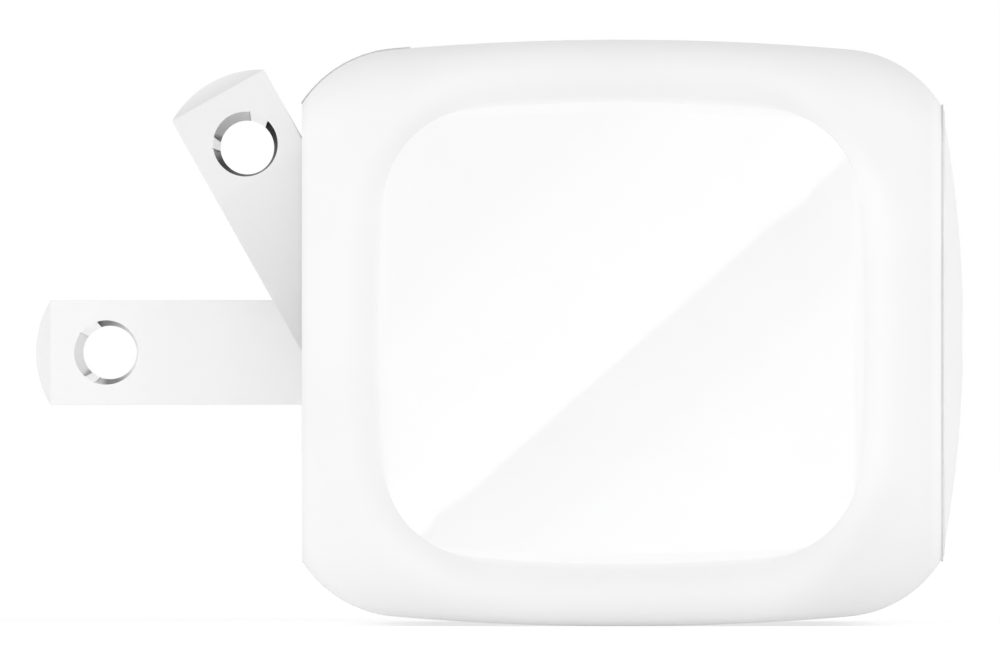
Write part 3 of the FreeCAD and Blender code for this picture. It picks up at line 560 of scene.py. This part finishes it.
# Blades: the same mesh for both, about the pivot and extended along -X, then turned to its angle

def blade_outline(reach, top, bottom):
    """The arc of the tip, and the root's arc about the pivot, which a tangent joins to the top edge."""
    half = (top - bottom) / 2
    tip_radius = (half ** 2 + tip_bevel_length ** 2) / (2 * tip_bevel_length)
    tip_centre = (tip_radius - reach, (top + bottom) / 2)
    spread = math.asin(half / tip_radius)
    tip = arc_points(tip_centre, tip_radius, math.pi - spread, math.pi + spread, tip_steps)
    lean = math.acos(-bottom / top)
    root = arc_points((0, 0), -bottom, -math.pi / 2, math.pi / 2 - lean, root_steps)
    return tip, [*root, (0, top)]


def blade_plate(reach, top, bottom, half):
    tip, rest = blade_outline(reach, top, bottom)
    chord = tip_bevel_length - reach
    slope = tip_bevel_depth / tip_bevel_length
    mesh = bmesh.new()
    rings = []
    for side in (-1, 1):
        ring = []
        for x, z in tip + rest:
            past = max(0, chord - x)
            ring.append(mesh.verts.new((x, side * (half - slope * past), z)))
        rings.append(ring)
        mesh.faces.new(ring[:len(tip)])
        mesh.faces.new([ring[0], *ring[len(tip) - 1:]])
    join_rings(mesh, *rings)
    bmesh.ops.recalc_face_normals(mesh, faces=mesh.faces)
    sharp = [edge for edge in mesh.edges if edge.calc_face_angle() > rounded_angle]
    bmesh.ops.bevel(
        mesh, geom=sharp, offset=blade_edge_round, segments=2, profile=0.5, affect="EDGES",
        clamp_overlap=True
    )
    return mesh


def hole_section(y, half):
    points = []
    for step in range(hole_steps):
        turn = math.pi * (2 * step / hole_steps - 1)
        outward = abs(y) / half
        if any(start <= math.degrees(turn) <= end for start, end in bright_turns):
            outward = max(0, 1 - (half - abs(y)) / hole_chamfer_depth)
        radius = hole_waist_radius + (hole_mouth_radius - hole_waist_radius) * outward
        x = hole_centre.x + hole_waist_shift * (1 - outward)
        points.append((x - radius * math.cos(turn), y, hole_centre.z + radius * math.sin(turn)))
    return points


def hole_cutter(half):
    past = half + hole_overshoot
    chamfer = half - hole_chamfer_depth
    return sweep([hole_section(y, half) for y in (-past, -chamfer, 0, chamfer, past)])


def level_at(levels, value):
    for (start, first), (end, second) in zip(levels, levels[1:]):
        if start <= value <= end:
            return first + (second - first) * (value - start) / (end - start)
    return levels[-1][1]


def paint_blade(data, reach, ring_painted_shade):
    tone = data.attributes.new("tone", "FLOAT", "POINT")
    along = data.attributes.new("along", "FLOAT", "POINT")
    places = [vertex.co for vertex in data.vertices]
    turns = [
        math.degrees(math.atan2(place.z - hole_centre.z, hole_centre.x - place.x)) for place in places
    ]
    # The tone attribute holds the painted shade and painted reflections of each hole's wall
    tone.data.foreach_set("value", [level_at(ring_painted_shade, turn) for turn in turns])
    # along: the share of the length from the tip, which the painted shade of the front follows
    along.data.foreach_set("value", [1 + place.x / reach for place in places])
    # This call makes every face smooth, so it comes before the large faces are set flat
    data.set_sharp_from_angle(angle=sharp_angle)
    for face in data.polygons:
        from_hole = math.hypot(face.center.x - hole_centre.x, face.center.z - hole_centre.z)
        if face.normal.y < front_facing:
            face.material_index = front_slot
        elif from_hole < hole_mouth_radius and face.normal.y < back_facing:
            face.material_index = ring_slot
        else:
            face.material_index = side_slot
        face.use_smooth = face.area < smooth_area


def front_material(name, tones):
    material, tree, shader = new_material(name)
    place = stretched_place(tree, metal_stretch)
    along = add(tree, "ShaderNodeAttribute", attribute_name="along").outputs["Fac"]
    patches = ranged(tree, noise(tree, place, metal_patch), noise_span, -metal_wander, metal_wander)
    free = calculate(tree, "GREATER_THAN", along, plain_tip)
    wander = calculate(tree, "MULTIPLY_ADD", patches, free, along)
    # Base colour: the blade's grey with painted shade along it, and random patches beyond the tip
    tree.links.new(ramp_of(tree, wander, tones), shader.inputs["Base Color"])
    roughen(tree, shader, place, front_grain, front_roughness, metal_grain_depth, metal_grain_strength)
    shader.inputs["Metallic"].default_value = 1.0
    return material


def ring_material(name):
    material, tree, shader = new_material(name)
    tone = add(tree, "ShaderNodeAttribute", attribute_name="tone").outputs["Fac"]
    # Base colour: the painted shade and painted reflections round the hole, from the tone attribute
    tree.links.new(ramp_of(tree, tone, ((0, 0), (1, 1))), shader.inputs["Base Color"])
    place = object_place(tree)
    roughen(tree, shader, place, ring_grain, ring_roughness, metal_grain_depth, metal_grain_strength)
    shader.inputs["Metallic"].default_value = 1.0
    return material


def make_blade(side, angle, tones, ring_painted_shade):
    node = f"{side}_blade"
    low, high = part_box("far_blade")
    half = (high.y - low.y) / 2
    reach = far_pivot.x - low.x
    mesh = blade_plate(reach, high.z - far_pivot.z, low.z - far_pivot.z, half)
    blade = piece_from(mesh, f"{node}_pin")
    cut_out(blade, piece_from(hole_cutter(half), "hole"))
    blade.data.materials.clear()
    blade.data.materials.append(materials["nickel"])
    # The front and ring materials are copies for each blade, each painted with its own shade
    blade.data.materials.append(front_material(f"{side}_nickel", tones))
    blade.data.materials.append(ring_material(f"{side}_nickel_ring_painted_shade"))
    paint_blade(blade.data, reach, ring_painted_shade)
    blade.location = joints[f"{side}_blade_fold"]["pos_m"]
    blade.rotation_euler = (0, math.radians(angle), 0)
    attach(blade, f"{side}_blade_arm")
    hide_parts(node)


# Filling of the seam between housing and cover, and the lips of the blade recesses

def white_piece(mesh, name):
    piece = piece_from(mesh, name)
    piece.data.materials.append(materials["matt_white"])
    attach(piece, "charger")


def make_seam_fill():
    back = Vector((housing_depth - seam_overlap, 0, 0))
    front = Vector((housing_depth + seam_gap + seam_overlap, 0, 0))
    sections = []
    for step in range(seam_steps):
        turn = 2 * math.pi * step / seam_steps
        out = Vector((0, math.cos(turn), math.sin(turn)))
        # The filling lies at a steady depth under the edge of the cover
        point = nodes["front_cover"].ray_cast(front + out * cad_high.y * ray_start, -out)[1]
        radius = math.hypot(point.y, point.z) - seam_fill_depth
        outer = out * radius
        inner = out * (radius - seam_fill_thickness)
        sections.append((back + outer, front + outer, front + inner, back + inner))
    white_piece(sweep(sections, closed=True), "seam_fill")


def lip_section(edge, rise, inward, undercut):
    foot = rise * -lip_sink
    top = rise * lip_height
    return (
        edge + inward * undercut + foot, edge + top * lip_shoulder, edge + top,
        edge + inward * lip_crest + top, edge + inward + foot
    )


def make_lip(name, side):
    inward = Vector((0, -side * lip_width, 0))
    sections = []
    for step in range(lip_steps + 1):
        share = step / lip_steps
        x = lip_start + (recess_end - lip_start) * share ** lip_spread
        # The lip follows the surface of the housing below it
        above = Vector((x, side * (recess_side - lip_width / 2), cad_high.z * ray_start))
        point, normal = nodes["housing"].ray_cast(above, Vector((0, 0, -1)))[1:3]
        rise = Vector((normal.x, 0, normal.z)).normalized()
        edge = Vector((point.x, side * recess_side, point.z))
        sections.append(lip_section(edge, rise, inward, lip_undercut * share))
    white_piece(sweep(sections), name)


# Stage, light and camera

def stage_plane(name, corners, material):
    mesh = bpy.data.meshes.new(name)
    mesh.from_pydata(corners, [], [(0, 1, 2, 3)])
    plane = bpy.data.objects.new(name, mesh)
    plane.data.materials.append(material)
    bpy.context.scene.collection.objects.link(plane)
    return plane


def floor_glow(tree):
    path = add(tree, "ShaderNodeLightPath").outputs
    length = add(tree, "ShaderNodeVectorMath", operation="LENGTH")
    tree.links.new(object_place(tree), length.inputs[0])
    seen = ranged(
        tree, length.outputs["Value"], floor_fade, floor_glow_near, floor_glow_far, "SMOOTHSTEP"
    )
    strength = calculate(tree, "MULTIPLY", path["Is Camera Ray"], seen)
    for ray, level in (
        ("Is Glossy Ray", floor_glow_mirrored), ("Is Transmission Ray", floor_glow_mirrored),
        ("Is Diffuse Ray", floor_glow_spread)
    ):
        strength = calculate(tree, "MULTIPLY_ADD", path[ray], level, strength)
    glow = add(tree, "ShaderNodeEmission")
    tree.links.new(strength, glow.inputs["Strength"])
    return glow.outputs["Emission"]


def make_floor():
    material, tree, shader = new_material("floor")
    shader.inputs["Base Color"].default_value = (*grey(floor_colour), 1)
    shader.inputs["Roughness"].default_value = floor_roughness
    shader.inputs["Specular IOR Level"].default_value = 0.0
    both = add(tree, "ShaderNodeAddShader")
    tree.links.new(shader.outputs["BSDF"], both.inputs[0])
    tree.links.new(floor_glow(tree), both.inputs[1])
    tree.links.new(both.outputs["Shader"], tree.nodes["Material Output"].inputs["Surface"])
    signs = ((-1, -1), (1, -1), (1, 1), (-1, 1))
    stage_plane("floor", [(x * floor_half, y * floor_half, floor_z) for x, y in signs], material)


def card_material():
    material, tree, surface = blank_material("card")
    glow = add(tree, "ShaderNodeEmission")
    across = add(tree, "ShaderNodeVectorMath", operation="DOT_PRODUCT")
    across.inputs[1].default_value = (-card_edge_slope, 0, 1)
    tree.links.new(object_place(tree), across.inputs[0])
    lowest = card_levels[0][0]
    highest = card_levels[-1][0]
    brightest = max(level for height, level in card_levels)
    span = (card_edge_rise + lowest * mm, card_edge_rise + highest * mm)
    height_share = ranged(tree, across.outputs["Value"], span, 0.0, 1.0)
    shares = [
        ((height - lowest) / (highest - lowest), level / brightest) for height, level in card_levels
    ]
    tree.links.new(ramp_of(tree, height_share, shares), glow.inputs["Color"])
    glow.inputs["Strength"].default_value = brightest
    tree.links.new(glow.outputs["Emission"], surface)
    return material


def make_card():
    y = cad_low.y - card_distance
    low_edge = [(card_left, y, floor_z), (card_right, y, floor_z)]
    high_edge = [(card_right, y, card_top), (card_left, y, card_top)]
    card = stage_plane("card", low_edge + high_edge, card_material())
    card.visible_camera = False
    card.visible_diffuse = False
    card.visible_transmission = False
    card.visible_shadow = False


def make_world():
    world = bpy.data.worlds.new("studio")
    bpy.context.scene.world = world
    world.use_nodes = True
    tree = world.node_tree
    background = tree.nodes["Background"].inputs
    path = add(tree, "ShaderNodeLightPath").outputs
    shown = calculate(tree, "MAXIMUM", path["Is Camera Ray"], path["Is Glossy Ray"])
    shown = calculate(tree, "MAXIMUM", shown, path["Is Transmission Ray"])
    tree.links.new(ranged(tree, shown, (0, 1), world_light, 1.0), background["Strength"])
    background["Color"].default_value = (1, 1, 1, 1)


def make_lamp(name, place, width, height, power):
    data = bpy.data.lights.new(name, "AREA")
    data.shape = "RECTANGLE"
    data.size = width
    data.size_y = height
    data.energy = power
    lamp = bpy.data.objects.new(name, data)
    lamp.location = place
    lamp.rotation_mode = "QUATERNION"
    lamp.rotation_quaternion = (Vector(lamp_target) - Vector(place)).to_track_quat("-Z", "Y")
    lamp.visible_glossy = False
    bpy.context.scene.collection.objects.link(lamp)


def make_camera():
    data = bpy.data.cameras.new("camera")
    data.lens = lens
    data.sensor_width = sensor
    distance = photo_width * lens / sensor
    data.clip_start = distance * clip_start
    data.clip_end = distance * clip_end
    camera = bpy.data.objects.new("camera", data)
    camera.location = (photo_centre_x, photo_plane_y - distance, photo_centre_z)
    camera.rotation_euler = (math.pi / 2, 0, 0)
    bpy.context.scene.collection.objects.link(camera)
    bpy.context.scene.camera = camera


# The near blade is raised by this angle at rest, in degrees
near_angle = -joints["near_blade_fold"]["range_deg"][0]

dress_nodes()
make_blade("near", near_angle, near_tones_with_painted_shade, near_ring_painted_shade)
make_blade("far", 0, far_tones_with_painted_shade, far_ring_painted_shade)
make_seam_fill()
make_lip("near_recess_lip", -1)
make_lip("far_recess_lip", 1)

bpy.context.scene.view_settings.view_transform = "Standard"
make_camera()
make_world()
make_floor()
make_card()
for lamp in lamps:
    make_lamp(*lamp)
